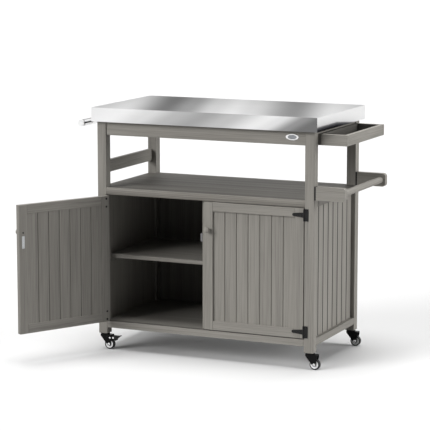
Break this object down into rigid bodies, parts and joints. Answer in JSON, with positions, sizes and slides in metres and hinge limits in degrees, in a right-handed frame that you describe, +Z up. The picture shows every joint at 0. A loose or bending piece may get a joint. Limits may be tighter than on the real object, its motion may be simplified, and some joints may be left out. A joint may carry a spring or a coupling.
{
  "type": "grill cart",
  "caption": "Wooden grill cart with plank-panelled doors, open shelf, folded steel worktop, spice rack, towel rail, push bar and swivel casters",
  "frame": {"origin": "on the floor under the middle of the cart, without the rack, towel rail, push bar and open door", "axes": "+X to the right of someone facing the doors, +Y to the back, +Z up"},
  "size_m": [1.1595, 0.8425, 0.925],
  "materials": {
    "painted_wood": "satin warm grey paint over wood",
    "worktop_steel": "brushed along the width",
    "polished_tube": "polished",
    "black_steel": "satin black",
    "zinc_plate": "bright zinc",
    "catch_plastic": "moulded grey",
    "wheel_rubber": "matt black tread",
    "black_plastic": "moulded black"
  },
  "bodies": {
    "cart": {"apron_front": "painted_wood", "apron_left": "painted_wood", "apron_rear": "painted_wood", "apron_right": "painted_wood", "back_panel": "painted_wood", "cabinet_floor": "painted_wood", "door_post": "painted_wood", "floor_rail_front": "painted_wood", "floor_rail_rear": "painted_wood", "floor_rails_side": "painted_wood", "inner_shelf": "painted_wood", "left_mid_rail": "painted_wood", "leg_front_left": "painted_wood", "leg_front_right": "painted_wood", "leg_rear_left": "painted_wood", "leg_rear_right": "painted_wood", "open_shelf": "painted_wood", "rack_back": "painted_wood", "rack_bottom": "painted_wood", "rack_ends": "painted_wood", "rack_front": "painted_wood", "shelf_cleats": "painted_wood", "side_panel_left": "painted_wood", "side_panel_right": "painted_wood", "towel_brackets": "painted_wood", "towel_dowel": "painted_wood", "worktop_board": "painted_wood", "hinge_leaves": "black_steel", "magnetic_catches": "catch_plastic", "steel_worktop": "worktop_steel", "push_bar": "polished_tube", "push_bar_stays": "polished_tube", "caster_heads": "black_steel", "towel_plates": "black_plastic"},
    "left_door": {"left_door_stiles": "painted_wood", "left_door_rails": "painted_wood", "left_door_panel": "painted_wood", "left_door_knob": "painted_wood", "left_door_straps": "black_steel", "left_door_strike": "zinc_plate"},
    "right_door": {"right_door_stiles": "painted_wood", "right_door_rails": "painted_wood", "right_door_panel": "painted_wood", "right_door_knob": "painted_wood", "right_door_straps": "black_steel", "right_door_strike": "zinc_plate"},
    "caster_front_left_swivel": {"caster_front_left_fork": "black_steel"},
    "caster_front_left_roller": {"caster_front_left_wheel": "wheel_rubber"},
    "caster_front_left_brake": {"caster_front_left_pedal": "black_plastic"},
    "caster_front_right_swivel": {"caster_front_right_fork": "black_steel"},
    "caster_front_right_roller": {"caster_front_right_wheel": "wheel_rubber"},
    "caster_rear_left_swivel": {"caster_rear_left_fork": "black_steel"},
    "caster_rear_left_roller": {"caster_rear_left_wheel": "wheel_rubber"},
    "caster_rear_left_brake": {"caster_rear_left_pedal": "black_plastic"},
    "caster_rear_right_swivel": {"caster_rear_right_fork": "black_steel"},
    "caster_rear_right_roller": {"caster_rear_right_wheel": "wheel_rubber"}
  },
  "joints": [
    {"name": "left_door_hinge", "type": "hinge", "parent": "cart", "child": "left_door", "pos_m": [-0.399, -0.236, 0.3545], "axis": [0, 0, 1], "range_deg": [-56, 119]},
    {"name": "right_door_hinge", "type": "hinge", "parent": "cart", "child": "right_door", "pos_m": [0.399, -0.236, 0.3545], "axis": [0, 0, 1], "range_deg": [0, 175]},
    {"name": "caster_front_left_swivel", "type": "hinge", "parent": "cart", "child": "caster_front_left_swivel", "pos_m": [-0.4185, -0.215, 0.055], "axis": [0, 0, 1], "continuous": true},
    {"name": "caster_front_left_roll", "type": "hinge", "parent": "caster_front_left_swivel", "child": "caster_front_left_roller", "pos_m": [-0.3985, -0.215, 0.0195], "axis": [0, 1, 0], "continuous": true},
    {"name": "caster_front_left_brake", "type": "hinge", "parent": "caster_front_left_swivel", "child": "caster_front_left_brake", "pos_m": [-0.4065, -0.215, 0.0475], "axis": [0, 1, 0], "range_deg": [0, 10]},
    {"name": "caster_front_right_swivel", "type": "hinge", "parent": "cart", "child": "caster_front_right_swivel", "pos_m": [0.4185, -0.215, 0.055], "axis": [0, 0, 1], "continuous": true},
    {"name": "caster_front_right_roll", "type": "hinge", "parent": "caster_front_right_swivel", "child": "caster_front_right_roller", "pos_m": [0.4385, -0.215, 0.0195], "axis": [0, 1, 0], "continuous": true},
    {"name": "caster_rear_left_swivel", "type": "hinge", "parent": "cart", "child": "caster_rear_left_swivel", "pos_m": [-0.4185, 0.215, 0.055], "axis": [0, 0, 1], "continuous": true},
    {"name": "caster_rear_left_roll", "type": "hinge", "parent": "caster_rear_left_swivel", "child": "caster_rear_left_roller", "pos_m": [-0.3985, 0.215, 0.0195], "axis": [0, 1, 0], "continuous": true},
    {"name": "caster_rear_left_brake", "type": "hinge", "parent": "caster_rear_left_swivel", "child": "caster_rear_left_brake", "pos_m": [-0.4065, 0.215, 0.0475], "axis": [0, 1, 0], "range_deg": [0, 10]},
    {"name": "caster_rear_right_swivel", "type": "hinge", "parent": "cart", "child": "caster_rear_right_swivel", "pos_m": [0.4185, 0.215, 0.055], "axis": [0, 0, 1], "continuous": true},
    {"name": "caster_rear_right_roll", "type": "hinge", "parent": "caster_rear_right_swivel", "child": "caster_rear_right_roller", "pos_m": [0.4385, 0.215, 0.0195], "axis": [0, 1, 0], "continuous": true}
  ]
}
